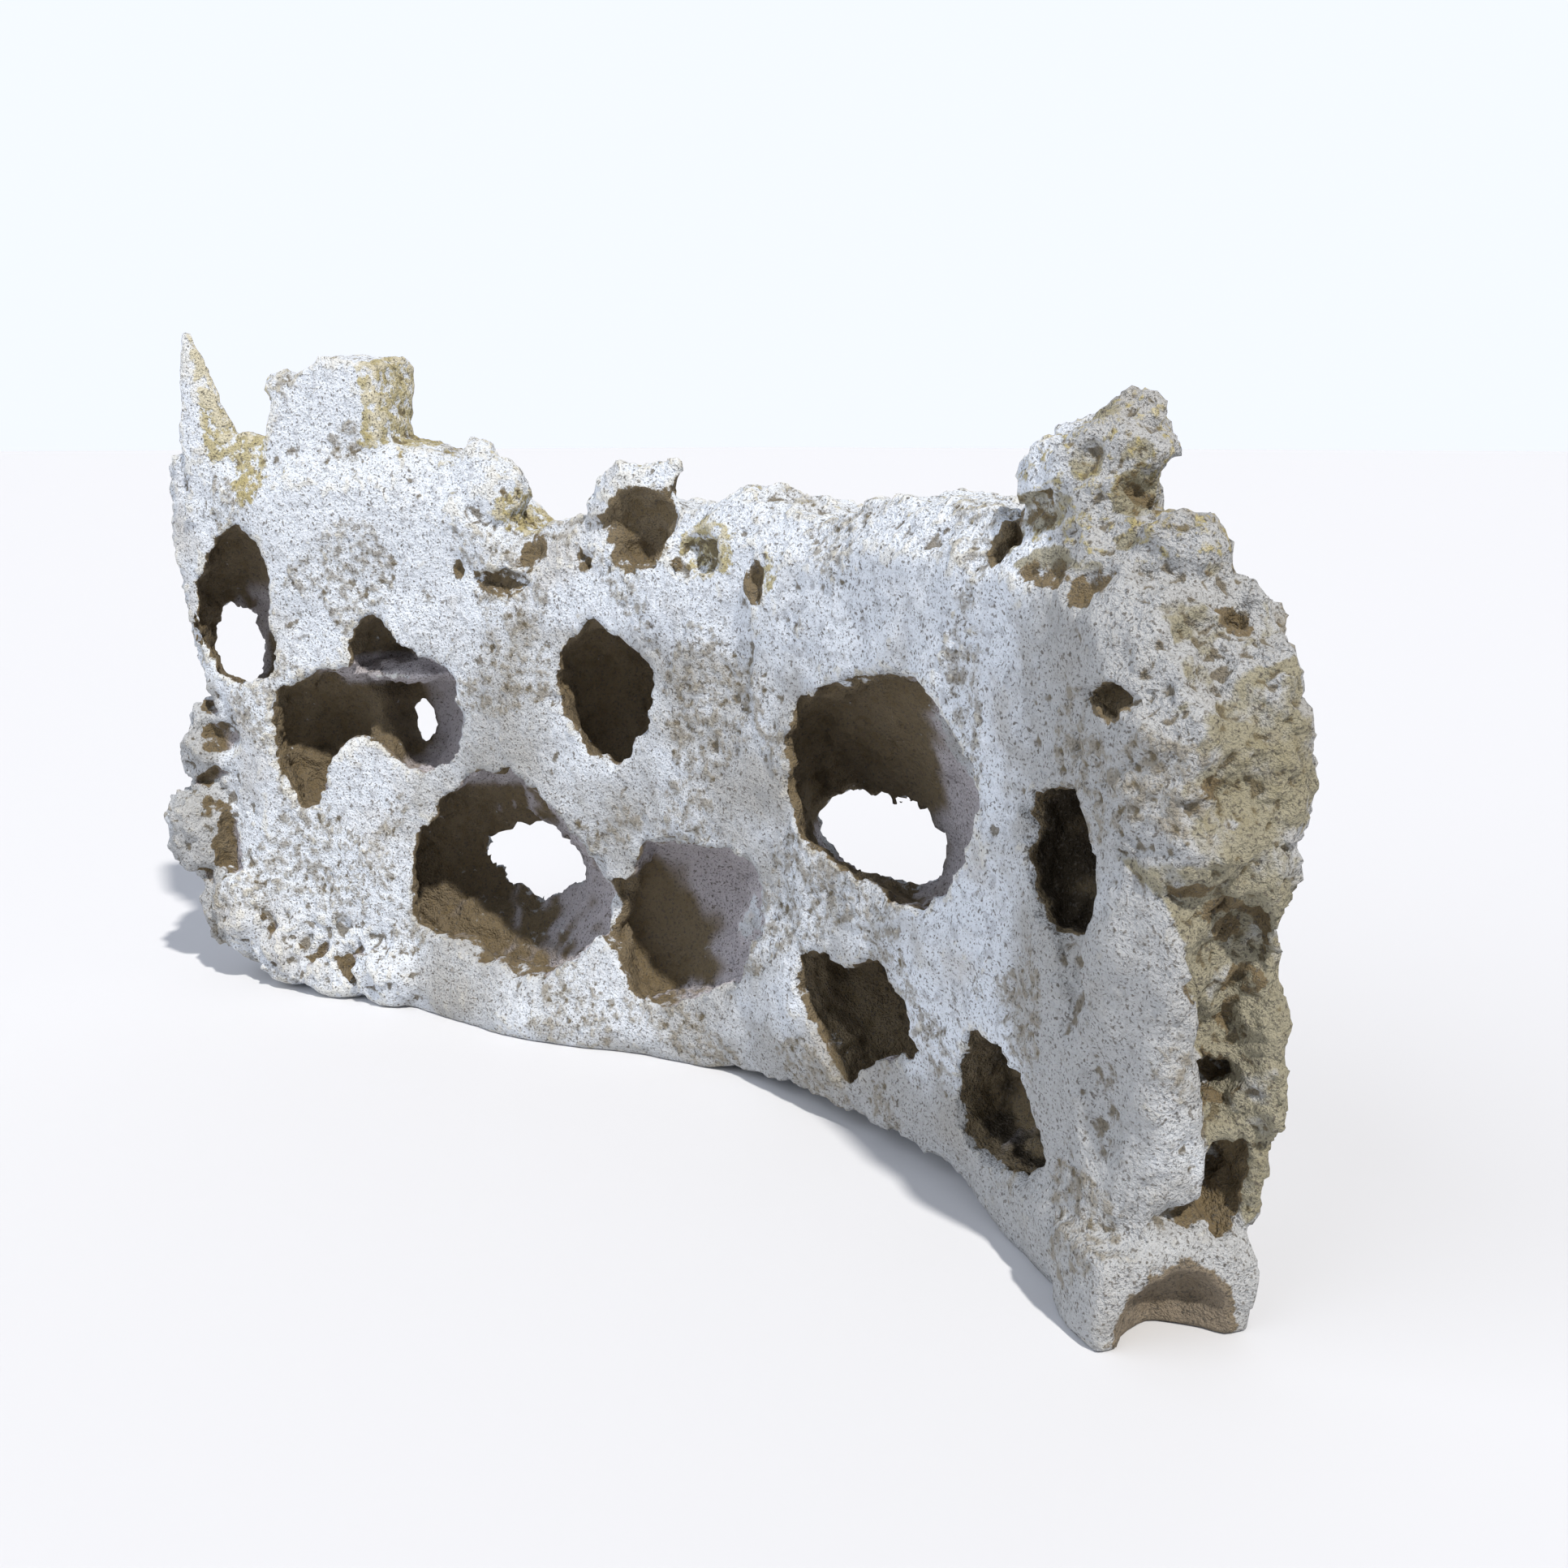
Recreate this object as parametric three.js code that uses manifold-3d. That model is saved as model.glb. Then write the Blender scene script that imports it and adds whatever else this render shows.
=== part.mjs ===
// Holey limestone: one weathered slab of porous rock that stands on its long edge. It is bent
// like a shallow bow, pierced by rounded solution holes, broken into points along its top and
// pitted at its thick end. Everything is one body, in millimetres, with +Z up.
//
// Places on the stone are given as along, depth and height: along runs from the thin end to the
// thick end, depth goes into the rock from the hollow front face, height stands above the ground.

import * as THREE from 'three';
import Module from 'manifold-3d';
import { mergeVertices } from 'three/addons/utils/BufferGeometryUtils.js';
import { ImprovedNoise } from 'three/addons/math/ImprovedNoise.js';

const wasm = await Module();
wasm.setup();

// Slab
const THIN_END = -43;
const THICK_END = 412;
const THICKNESS = 50;
const BOW_RISE = 60;
const BOW_MIDDLE = 208;
const BOW_RATE = 0.00135;
const SLAB_STEPS = { along: 32, depth: 3, height: 13 };
// Shares of the length over which the ends take their own shape
const THIN_END_SHARE = 0.2;
const THICK_END_SHARE = 0.28;
// How far the thin end leans back as it goes deeper
const THIN_END_LEAN = 0.42;
// Worn rims: how far in from an edge the slab thins, and by what share of its half thickness
const RIM = { width: 17, thinning: 0.42, footDrop: 6 };

// Surface relief, as height and width of its waves
const SWELL = { height: 3.2, width: 62 };
const BACK_SWELL = { height: 7, width: 74 };
const RIPPLE = { height: 1.7, width: 19 };
const RIM_RIPPLE = { height: 2.2, width: 16 };

// Forward bulge of the lower front near the thin end
const BULGE = { along: 98, halfLength: 62, height: 62, reach: 19 };

// Swellings and hollows of the back: middle as [along, height], half sizes, how far they stand out
const BACK_FORMS = [
  { at: [232, 52], half: [70, 46], out: 13 },
  { at: [64, 150], half: [54, 44], out: 11 },
  { at: [186, 136], half: [40, 40], out: 9 },
  { at: [376, 66], half: [36, 50], out: 9 },
  { at: [118, 172], half: [30, 20], out: -14 },
  { at: [326, 126], half: [30, 36], out: -13 },
  { at: [16, 66], half: [24, 30], out: -12 },
  { at: [214, 184], half: [24, 16], out: -11 },
  { at: [304, 30], half: [28, 16], out: -10 },
  { at: [136, 92], half: [16, 18], out: -10 },
];
// How steeply such a form falls away from its middle
const BACK_FALL = 1.5;

// Upper and lower edges of the slab, as [along, height]
const TOP_EDGE = [
  [-43, 232], [-10, 239], [20, 241], [50, 236], [68, 231], [80, 223], [92, 205], [106, 204],
  [118, 210], [145, 217], [175, 214], [205, 220], [247, 213], [270, 221], [327, 221], [345, 217],
  [372, 219], [412, 203],
];
const FOOT_EDGE = [
  [-43, 34], [-28, 14], [-10, -3], [40, -8], [150, -8], [195, 2], [250, 7], [318, 8], [350, 2],
  [412, -7],
];
// Thin and thick ends of the slab, as [height, shift along]
const THIN_EDGE = [[0, 14], [30, 12], [60, 10], [100, 10], [140, 4], [190, -2], [240, -3]];
const THICK_EDGE = [[0, -3], [40, 2], [80, 6], [130, 11], [165, 9], [190, -5], [215, -16]];

// Solution holes: rim on the front face as [along, height], and the far end that the passage
// narrows to. A passage reaches right through unless its depth is given. Where it is undercut, it
// hollows out the rock behind its rim by so much along and in height.
const HOLES = [
  {
    rim: [
      [-23, 204], [-13, 197], [-12, 163], [-10, 150], [-23, 136], [-36, 146], [-40, 172], [-34, 194],
    ],
    end: { along: -47, height: 148, halfLength: 9, halfHeight: 19 },
  },
  {
    rim: [
      [22, 150], [25, 163], [33, 169], [50, 153], [64, 149], [70, 130], [66, 112], [52, 103],
      [40, 106], [24, 132],
    ],
    end: { along: 26, height: 119, halfLength: 4, halfHeight: 8 },
  },
  {
    rim: [
      [-11, 132], [2, 141], [24, 147], [44, 142], [40, 118], [18, 114], [9, 100], [3, 81], [-9, 96],
    ],
    end: { along: 2, height: 112, halfLength: 12, halfHeight: 14 },
    depth: 36,
  },
  {
    rim: [
      [142, 171], [158, 161], [167, 143], [160, 129], [147, 118], [130, 124], [121, 141], [124, 164],
    ],
    end: { along: 153, height: 143, halfLength: 16, halfHeight: 17 },
    undercut: [-14, -7],
  },
  {
    rim: [
      [97, 109], [112, 99], [128, 81], [143, 70], [141, 48], [118, 30], [97, 25], [72, 35],
      [47, 42], [49, 63], [62, 93], [80, 104],
    ],
    end: { along: 77, height: 59, halfLength: 15, halfHeight: 12 },
    undercut: [-15, -8],
  },
  {
    rim: [
      [163, 87], [190, 91], [214, 90], [220, 73], [213, 45], [192, 32], [160, 25], [147, 46],
      [150, 66],
    ],
    end: { along: 181, height: 60, halfLength: 21, halfHeight: 20 },
    undercut: [-12, -5],
    depth: 37,
  },
  {
    rim: [
      [240, 150], [259, 159], [300, 168], [321, 157], [337, 140], [329, 108], [306, 91], [285, 95],
      [258, 99], [240, 108], [237, 130],
    ],
    end: { along: 233, height: 94, halfLength: 32, halfHeight: 18 },
  },
  {
    rim: [
      [245, 61], [268, 62], [284, 70], [298, 57], [306, 42], [284, 34], [268, 19], [257, 29],
      [243, 46],
    ],
    end: { along: 282, height: 47, halfLength: 14, halfHeight: 13 },
  },
  {
    rim: [
      [330, 50], [340, 64], [358, 59], [373, 44], [374, 29], [351, 23], [335, 22], [326, 34],
    ],
    end: { along: 351, height: 42, halfLength: 13, halfHeight: 12 },
    depth: 34,
  },
  {
    rim: [[364, 142], [384, 147], [392, 132], [396, 117], [381, 104], [368, 113]],
    end: { along: 372, height: 124, halfLength: 9, halfHeight: 13 },
    depth: 30,
  },
];
// How every passage is shaped: where its rings lie, as shares of its reach, from ahead of the face
// to behind the back; it stays as wide as its rim up to a share of the reach and then closes in
// to its far end, bellies out inside, and flares ahead of its rim by a share of each millimetre
const PASSAGE_RINGS = [-0.32, 0.05, 0.44, 1, 1.4];
const CAVE_RINGS = [-0.32, 0.05, 0.55, 1];
const PASSAGE = { wideTo: 0.42, belly: 0.1, flare: 0.002, drift: 1.5 };
const POINTS_AROUND = 17;
const PASSAGE_RELIEF = { share: 0.09, width: 21 };

// Hollows bitten out of the surface, as [along, depth, height] and half sizes in the same order
const HOLLOWS = [
  // socket under the curled lobe on the top edge, and the one in the small knob beside it
  { at: [157, 0, 210], half: [17, 17, 12] },
  { at: [92, 3, 222], half: [5, 6, 6] },
  // deeper tier behind the upper chamber of the widest hole
  { at: [266, 30, 116], half: [27, 14, 15] },
  // the septum between the two low holes stands back from the face
  { at: [144, 2, 56], half: [8, 12, 15] },
  // crevice and pits below the top edge
  { at: [90, 1, 184], half: [15, 8, 4.5] },
  { at: [103, 3, 197], half: [7, 8, 7] },
  { at: [71, 0, 189], half: [4, 8, 5] },
  { at: [129, 1, 195], half: [8, 7, 4] },
  { at: [187, 4, 199], half: [14, 7, 9] },
  { at: [218, 1, 191], half: [4, 7, 9] },
  // pits and broken crevices of the tall knob and below it
  { at: [384, 21, 225], half: [8, 8, 7] },
  { at: [369, 14, 243], half: [8, 7, 4] },
  { at: [367, 8, 236], half: [5, 5, 6] },
  { at: [352, 3, 220], half: [13, 9, 4] },
  { at: [340, 8, 210], half: [5, 9, 8] },
  { at: [363, 2, 206], half: [9, 8, 5] },
  { at: [378, 4, 202], half: [8, 8, 6] },
  { at: [397, 3, 175], half: [14, 8, 4] },
  // broken face of the thick end: a recess behind the flake's edge, with deeper hollows in it
  { at: [428, 24, 112], half: [13, 13, 20] },
  { at: [424, 30, 80], half: [15, 12, 50] },
  { at: [413, 33, 98], half: [7, 7, 5] },
  { at: [410, 30, 73], half: [9, 10, 8] },
  { at: [410, 34, 42], half: [9, 9, 14] },
  { at: [388, -4, 96], half: [9, 10, 22] },
  { at: [425, 20, 158], half: [8, 5, 11] },
  { at: [407, 34, 200], half: [9, 8, 8] },
  // scoop in the end of the foot, and the dark gap over it
  { at: [424, 19, 4], half: [20, 19, 24] },
  { at: [416, 23, 35], half: [10, 14, 3.6] },
  // hollow of the face beside the flake
  { at: [401, -2, 62], half: [9, 11, 25] },
  // dark folds behind the lumps at the thin end
  { at: [-38, 2, 112], half: [9, 14, 10] },
  { at: [-37, -2, 62], half: [6, 16, 17] },
  { at: [20, -6, 14], half: [7, 7, 8] },
  { at: [36, -11, 44], half: [5, 8, 26] },
];

// Knobs and swellings fused to the slab, as [along, depth, height] and half sizes
const LUMPS = [
  // curled lobe over the socket on the top edge, and the small knob beside it
  { at: [145, 11, 219], half: [17, 9, 12] },
  { at: [84, 12, 219], half: [13, 10, 16] },
  // tall pitted knob over the thick end
  { at: [356, 22, 226], half: [20, 19, 20] },
  { at: [365, 28, 240], half: [12, 12, 12] },
  { at: [380, 30, 210], half: [20, 16, 12] },
  // rounded shoulder of the thick end
  { at: [408, 34, 154], half: [14, 17, 39] },
  { at: [400, 46, 184], half: [8, 8, 6] },
  // grey lumps behind the thin end
  { at: [-45, 24, 108], half: [13, 20, 17] },
  { at: [-48, 22, 68], half: [16, 24, 25] },
  { at: [-34, 18, 34], half: [17, 26, 26] },
  // clustered lumps at the foot of the thin end
  { at: [-12, 4, 15], half: [17, 12, 15] },
  { at: [10, 0, 9], half: [18, 11, 11] },
  { at: [34, -5, 13], half: [15, 11, 14] },
  { at: [-30, 4, 30], half: [11, 10, 13] },
  // low crust along the top edge
  { at: [200, 22, 215], half: [14, 16, 9] },
  { at: [222, 26, 211], half: [13, 14, 8] },
  // hooked knob on the thin side of the block, and the saddle between it and the tall point
  { at: [-6, 14, 260], half: [8, 9, 10] },
  { at: [-20, 12, 234], half: [11, 8, 11] },
];

// Ledges left standing inside the holes, as [along, depth, height] and half sizes
const LEDGES = [
  { at: [32, 28, 142], half: [32, 18, 4] },
  { at: [392, 16, 121], half: [7, 8, 12] },
  { at: [196, 34, 60], half: [11, 15, 26] },
];

// Half sizes above which a lump, hollow or ledge has more and finer faces
const FACE_SIZES = [11, 45];
// How rough they are, as a share of their own size, and the width of that relief on a ball of 20
const LUMP_ROUGHNESS = 0.16;
const HOLLOW_ROUGHNESS = 0.2;
const LUMP_RELIEF = { size: 20, width: 17 };

// Points broken from the top edge: foot and tip as [along, depth, height], the half widths of the
// foot, and how blunt the tip is, as a share of the foot's width
const POINTS = [
  { foot: [-31, 11, 206], tip: [-40.5, 8, 284], along: 18, depth: 9, blunt: 0.13 },
  { foot: [80, 14, 218], tip: [75, 14, 240], along: 15, depth: 12, blunt: 0.4 },
  { foot: [147, 10, 212], tip: [163, 13, 232], along: 20, depth: 8, blunt: 0.45 },
];
const POINT_SIDES = 7;
const POINT_RELIEF = { share: 0.22, size: 14, reach: 40, width: 15 };

// Squared, broken pieces between two corners: the upright block on the top edge beside the tall
// point, lower at its thin side by the drop, and the wedge that the thick end stands on
const BLOCK = { from: [-10, 5, 222], to: [36, 34, 272], steps: [6, 3, 4], drop: 15 };
const FOOT = { from: [388, -4, -6], to: [415, 42, 28], steps: [3, 4, 3], drop: 0 };
const CHUNK = { rounding: 0.16, growth: 1.12, relief: 2.6, size: 60, width: 26 };

// Box that is cut away below the ground plane
const GROUND = { length: 900, width: 700, depth: 100 };

const STONE = { color: 0xd9d8d4, roughness: 0.95, metalness: 0 };

const noise = new ImprovedNoise();

// Waves of relief between about -1 and 1, in two sizes
function waves(x, y, z, width) {
  const coarse = noise.noise(x / width + 7.3, y / width + 2.1, z / width + 4.7);
  const fine = noise.noise((2.3 * x) / width + 1.9, (2.3 * y) / width + 8.4, (2.3 * z) / width + 3.2);
  return 1.4 * coarse + 0.6 * fine;
}

function smooth(t) {
  const c = THREE.MathUtils.clamp(t, 0, 1);
  return c * c * (3 - 2 * c);
}

// Turns a list of [position, value] into a function with rounded corners
function profile(points) {
  const curve = new THREE.SplineCurve(points.map(([a, b]) => new THREE.Vector2(a, b)));
  const line = curve.getPoints(points.length * 8);
  return (position) => {
    const found = line.findIndex((p) => p.x >= position);
    const next = found < 0 ? line.length - 1 : Math.max(1, found);
    const a = line[next - 1];
    const b = line[next];
    const t = THREE.MathUtils.clamp((position - a.x) / Math.max(b.x - a.x, 1e-6), 0, 1);
    return a.y + (b.y - a.y) * t;
  };
}

const topEdge = profile(TOP_EDGE);
const footEdge = profile(FOOT_EDGE);
const thinEdge = profile(THIN_EDGE);
const thickEdge = profile(THICK_EDGE);

// Bends a place on the straight slab to its place on the bowed one
function bend(along, depth, height) {
  const slope = -2 * BOW_RATE * (along - BOW_MIDDLE);
  const length = Math.hypot(1, slope);
  const front = BOW_RISE - BOW_RATE * (along - BOW_MIDDLE) ** 2;
  return new THREE.Vector3(along - (depth * slope) / length, front + depth / length, height);
}

// Moves each corner of a geometry to where the given function puts it
function reshape(geometry, place) {
  const position = geometry.getAttribute('position');
  const corner = new THREE.Vector3();
  for (let i = 0; i < position.count; i += 1) {
    corner.fromBufferAttribute(position, i);
    const moved = place(corner);
    position.setXYZ(i, moved.x, moved.y, moved.z);
  }
  return geometry;
}

function solid(geometry) {
  geometry.deleteAttribute('normal');
  geometry.deleteAttribute('uv');
  const merged = mergeVertices(geometry, 1e-4);
  return new wasm.Manifold(
    new wasm.Mesh({
      numProp: 3,
      vertProperties: new Float32Array(merged.getAttribute('position').array),
      triVerts: new Uint32Array(merged.getIndex().array),
    }),
  );
}

// How far the back stands out, at a place, beyond the plain slab
function backForm(along, height) {
  return BACK_FORMS.reduce((sum, { at, half, out }) => {
    const reach = Math.hypot((along - at[0]) / half[0], (height - at[1]) / half[1]);
    return sum + out * Math.exp(-BACK_FALL * reach * reach);
  }, 0);
}

// How far the front bulges forward, at a place
function frontForm(along, height) {
  const middle = Math.exp(-(((along - BULGE.along) / BULGE.halfLength) ** 2));
  return BULGE.reach * middle * smooth(1 - height / BULGE.height);
}

// The bowed slab: a fine box whose corners follow the edges, with rounded rims and rough faces
function slab() {
  const { along: nAlong, depth: nDepth, height: nHeight } = SLAB_STEPS;
  const box = new THREE.BoxGeometry(1, 1, 1, nAlong, nDepth, nHeight);
  return reshape(box, (c) => {
    const share = c.x + 0.5;
    const nominal = THREE.MathUtils.lerp(THIN_END, THICK_END, share);
    const height = THREE.MathUtils.lerp(footEdge(nominal), topEdge(nominal), c.z + 0.5);
    const toThick = smooth(1 - (1 - share) / THICK_END_SHARE);
    const toThin = smooth(1 - share / THIN_END_SHARE);
    const along = nominal + toThick * thickEdge(height) + toThin * thinEdge(height);

    const endGap = Math.min(nominal - THIN_END, THICK_END - nominal);
    const footGap = height - footEdge(nominal) + RIM.footDrop;
    const edgeGap = Math.min(endGap, topEdge(nominal) - height, footGap);
    const inset = 1 - Math.min(edgeGap / RIM.width, 1);

    const side = c.y * 2;
    const isFront = side < 0;
    const swell = isFront ? SWELL : BACK_SWELL;
    const relief = swell.height * waves(along, isFront ? 0 : 90, height, swell.width)
      + RIPPLE.height * waves(along, side * 40, height, RIPPLE.width);
    const form = isFront ? frontForm(along, height) : backForm(along, height);
    const half = (THICKNESS / 2) * (1 - RIM.thinning * inset * inset);
    const depth = THICKNESS / 2 + side * (half + relief + form);
    const lean = toThin * THIN_END_LEAN * Math.max(0, depth);
    const ripple = waves(along + 300, depth * 2, height, RIM_RIPPLE.width);
    const rimRelief = inset * RIM_RIPPLE.height * ripple;
    return bend(along - lean + rimRelief, depth, height + rimRelief);
  });
}

// A rounded passage from its rim on the front face to its narrower far end
function hole({ rim, end, depth, undercut = [0, 0] }, index) {
  const reach = depth ?? THICKNESS;
  const rings = depth ? CAVE_RINGS : PASSAGE_RINGS;
  const loop = new THREE.CatmullRomCurve3(rim.map(([a, h]) => new THREE.Vector3(a, h, 0)), true);
  const ring = loop.getSpacedPoints(POINTS_AROUND).slice(0, -1);
  const tube = new THREE.ExtrudeGeometry(
    new THREE.Shape(ring.map((p) => new THREE.Vector2(p.x, p.y))),
    { depth: 1, steps: rings.length - 1, bevelEnabled: false },
  );
  const sum = rim.reduce((total, [a, h]) => [total[0] + a, total[1] + h], [0, 0]);
  const centre = sum.map((value) => value / rim.length);

  return reshape(tube, (c) => {
    const share = rings[Math.round((1 - c.z) * (rings.length - 1))];
    const t = Math.max(0, share);
    const into = share * reach;
    const drift = t ** PASSAGE.drift;
    const blend = smooth((t - PASSAGE.wideTo) / (1 - PASSAGE.wideTo));
    const inside = Math.sin(Math.PI * Math.min(t, 1));
    const belly = 1 + PASSAGE.belly * inside;
    const flare = 1 + Math.max(0, -into) * PASSAGE.flare;
    const closing = depth ? Math.sqrt(Math.max(0.12, 1 - t ** 4)) : 1;
    const ripple = waves(c.x + 50 * index, into * 1.3, c.y, PASSAGE_RELIEF.width);
    const rough = 1 + PASSAGE_RELIEF.share * ripple * smooth(into / 8 + 0.4);
    const size = rough * belly * closing;

    const angle = Math.atan2(c.y - centre[1], c.x - centre[0]);
    const rimAlong = (c.x - centre[0]) * flare;
    const rimHeight = (c.y - centre[1]) * flare;
    const endAlong = end.halfLength * Math.cos(angle);
    const endHeight = end.halfHeight * Math.sin(angle);
    const along = centre[0] + (end.along - centre[0]) * drift + undercut[0] * inside
      + THREE.MathUtils.lerp(rimAlong, endAlong, blend) * size;
    const height = centre[1] + (end.height - centre[1]) * drift + undercut[1] * inside
      + THREE.MathUtils.lerp(rimHeight, endHeight, blend) * size;
    return bend(along, into, height);
  });
}

// A rounded lump, or the bite that a hollow takes, with finer faces the larger it is
function lump({ at, half }, index, roughness) {
  const size = Math.max(...half);
  const detail = FACE_SIZES.filter((limit) => size > limit).length;
  const ball = new THREE.IcosahedronGeometry(1, detail);
  return reshape(ball, (c) => {
    const place = c.clone().multiplyScalar(LUMP_RELIEF.size);
    const ripple = waves(place.x + 31 * index, place.y, place.z, LUMP_RELIEF.width);
    const swell = 1 + roughness * ripple;
    return bend(
      at[0] + c.x * half[0] * swell,
      at[1] + c.y * half[1] * swell,
      at[2] + c.z * half[2] * swell,
    );
  });
}

// A tapering point that leans from its foot to its tip
function point({ foot, tip, along, depth, blunt }, index) {
  const cone = new THREE.CylinderGeometry(blunt, 1, 1, POINT_SIDES, 4);
  const { share, size, reach, width } = POINT_RELIEF;
  return reshape(cone, (c) => {
    const t = c.y + 0.5;
    const rough = 1 + share * waves(c.x * size + 23 * index, c.z * size, t * reach, width);
    return bend(
      THREE.MathUtils.lerp(foot[0], tip[0], t) + c.x * along * rough,
      THREE.MathUtils.lerp(foot[1], tip[1], t) - c.z * depth * rough,
      THREE.MathUtils.lerp(foot[2], tip[2], t),
    );
  });
}

// A squared, broken piece between two opposite corners, lower at its thin side by the drop
function chunk({ from, to, steps, drop }, index) {
  const box = new THREE.BoxGeometry(1, 1, 1, ...steps);
  const { rounding, growth, relief, size, width } = CHUNK;
  const cornerReach = Math.sqrt(3) / 2;
  return reshape(box, (c) => {
    const inset = 1 - rounding * (c.length() / cornerReach) ** 3;
    const rough = relief * waves(c.x * size + 41 * index, c.y * size, c.z * size, width);
    const place = from.map((low, i) => {
      const middle = (low + to[i]) / 2;
      return middle + c.getComponent(i) * (to[i] - low) * inset * growth;
    });
    const lowered = drop * smooth(-c.x * 2) * (c.z + 0.5);
    return bend(place[0] + rough, place[1] + rough * 0.6, place[2] + rough - lowered);
  });
}

function stone() {
  const forms = [
    slab(),
    ...LUMPS.map((shape, i) => lump(shape, i, LUMP_ROUGHNESS)),
    ...POINTS.map(point),
    chunk(BLOCK, 1),
    chunk(FOOT, 2),
  ];
  const grown = forms.map(solid).reduce((body, form) => body.add(form));

  const bites = [
    ...HOLES.map(hole),
    ...HOLLOWS.map((shape, i) => lump(shape, i + 60, HOLLOW_ROUGHNESS)),
  ];
  const bitten = bites.map(solid).reduce((body, bite) => body.subtract(bite), grown);
  const ledges = LEDGES.map((shape, i) => lump(shape, i + 120, LUMP_ROUGHNESS));
  const ledged = ledges.map(solid).reduce((body, ledge) => body.add(ledge), bitten);

  // the ground plane: the stone stands on the flats that this cuts
  const below = new THREE.BoxGeometry(GROUND.length, GROUND.width, GROUND.depth);
  below.translate(BOW_MIDDLE, 0, -GROUND.depth / 2);
  return ledged.subtract(solid(below));
}

// Keeps the largest piece, because a bite can free a crumb
function largest(body) {
  return body.decompose().sort((a, b) => b.volume() - a.volume())[0];
}

function toGeometry(body) {
  const { vertProperties, triVerts } = body.getMesh();
  const geometry = new THREE.BufferGeometry();
  geometry.setAttribute('position', new THREE.BufferAttribute(new Float32Array(vertProperties), 3));
  geometry.setIndex(new THREE.BufferAttribute(new Uint32Array(triVerts), 1));
  geometry.computeVertexNormals();
  return geometry;
}

const geometry = toGeometry(largest(stone()));
geometry.computeBoundingBox();
const middle = geometry.boundingBox.getCenter(new THREE.Vector3());

const material = new THREE.MeshStandardMaterial(STONE);
const limestone = new THREE.Mesh(geometry, material);
limestone.name = 'limestone';
limestone.position.set(-middle.x, -middle.y, -geometry.boundingBox.min.z);

const group = new THREE.Group();
group.add(limestone);

export default group;
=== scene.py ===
import math

import bpy
import numpy as np
from mathutils import Matrix, Vector, noise
from mathutils.bvhtree import BVHTree


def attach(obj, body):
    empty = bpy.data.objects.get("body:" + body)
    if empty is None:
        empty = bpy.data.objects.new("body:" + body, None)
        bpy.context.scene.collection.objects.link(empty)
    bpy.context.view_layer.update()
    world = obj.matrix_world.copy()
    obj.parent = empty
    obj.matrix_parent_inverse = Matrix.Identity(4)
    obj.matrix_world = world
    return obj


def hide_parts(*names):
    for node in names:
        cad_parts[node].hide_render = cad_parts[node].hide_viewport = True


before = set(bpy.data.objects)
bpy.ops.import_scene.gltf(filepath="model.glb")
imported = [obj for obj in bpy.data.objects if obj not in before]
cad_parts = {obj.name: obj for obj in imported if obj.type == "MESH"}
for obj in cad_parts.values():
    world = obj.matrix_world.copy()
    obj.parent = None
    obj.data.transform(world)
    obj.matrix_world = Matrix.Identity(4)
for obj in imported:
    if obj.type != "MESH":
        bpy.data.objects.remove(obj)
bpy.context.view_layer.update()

# The body of the stone: one natural slab of porous limestone, which water dissolved into its
# bowed, holed shape. The solid gives that shape, and places on it are given along the slab, in
# depth from its front face and in height, all in millimetres.
SHAPE_ORIGIN = (178.12, 43.97)
BOW = {"middle": 208, "rise": 60, "rate": 0.00135}
# Rounds after which the place along the bow has settled
BOW_ROUNDS = 8
# Corners of the solid that are closer than this, in metres, are one
SAME_PLACE = 0.00001
# The size, in metres, of the cells that the surface is remade from
VOXEL = 0.00125


def only(thing):
    bpy.ops.object.select_all(action="DESELECT")
    thing.select_set(True)
    bpy.context.view_layer.objects.active = thing


def work(thing, kind, **settings):
    """Adds a modifier with its settings and applies it."""
    change = thing.modifiers.new(kind.lower(), kind)
    for name, value in settings.items():
        setattr(change, name, value)
    only(thing)
    bpy.ops.object.modifier_apply(modifier=change.name)


def corners(thing, kind="co"):
    """Where every vertex is, or which way it faces."""
    flat = np.empty(len(thing.data.vertices) * 3, dtype=np.float32)
    thing.data.vertices.foreach_get(kind, flat)
    return flat.reshape(-1, 3).astype(float)


def slab_place(places):
    """Along, depth and height on the bowed slab, in millimetres, of places in metres."""
    x = places[:, 0] * 1000 + SHAPE_ORIGIN[0]
    y = places[:, 1] * 1000 + SHAPE_ORIGIN[1]
    along = x.copy()
    for _ in range(BOW_ROUNDS):
        gap = y - (BOW["rise"] - BOW["rate"] * (along - BOW["middle"]) ** 2)
        slope = -2 * BOW["rate"] * (along - BOW["middle"])
        along += ((x - along) + gap * slope) / (1 + slope**2 + 2 * BOW["rate"] * gap)
    gap = y - (BOW["rise"] - BOW["rate"] * (along - BOW["middle"]) ** 2)
    slope = -2 * BOW["rate"] * (along - BOW["middle"])
    depth = (gap - slope * (x - along)) / np.sqrt(1 + slope**2)
    return along, depth, places[:, 2] * 1000


def slab_axes(along):
    """The directions along the slab and into it, at a place along it."""
    slope = -2 * BOW["rate"] * (along - BOW["middle"])
    length = np.sqrt(1 + slope**2)
    return (1 / length, slope / length), (-slope / length, 1 / length)


def from_slab(along, depth, height):
    """The place in metres of a point given as along, depth and height in millimetres."""
    inward = slab_axes(along)[1]
    front = BOW["rise"] - BOW["rate"] * (along - BOW["middle"]) ** 2
    x = along + depth * inward[0] - SHAPE_ORIGIN[0]
    y = front + depth * inward[1] - SHAPE_ORIGIN[1]
    return Vector((x, y, height)) / 1000


def ramp(values, start, end):
    """0 at start, 1 at end, smooth between them."""
    t = np.clip((values - start) / (end - start), 0, 1)
    return t * t * (3 - 2 * t)


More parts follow.
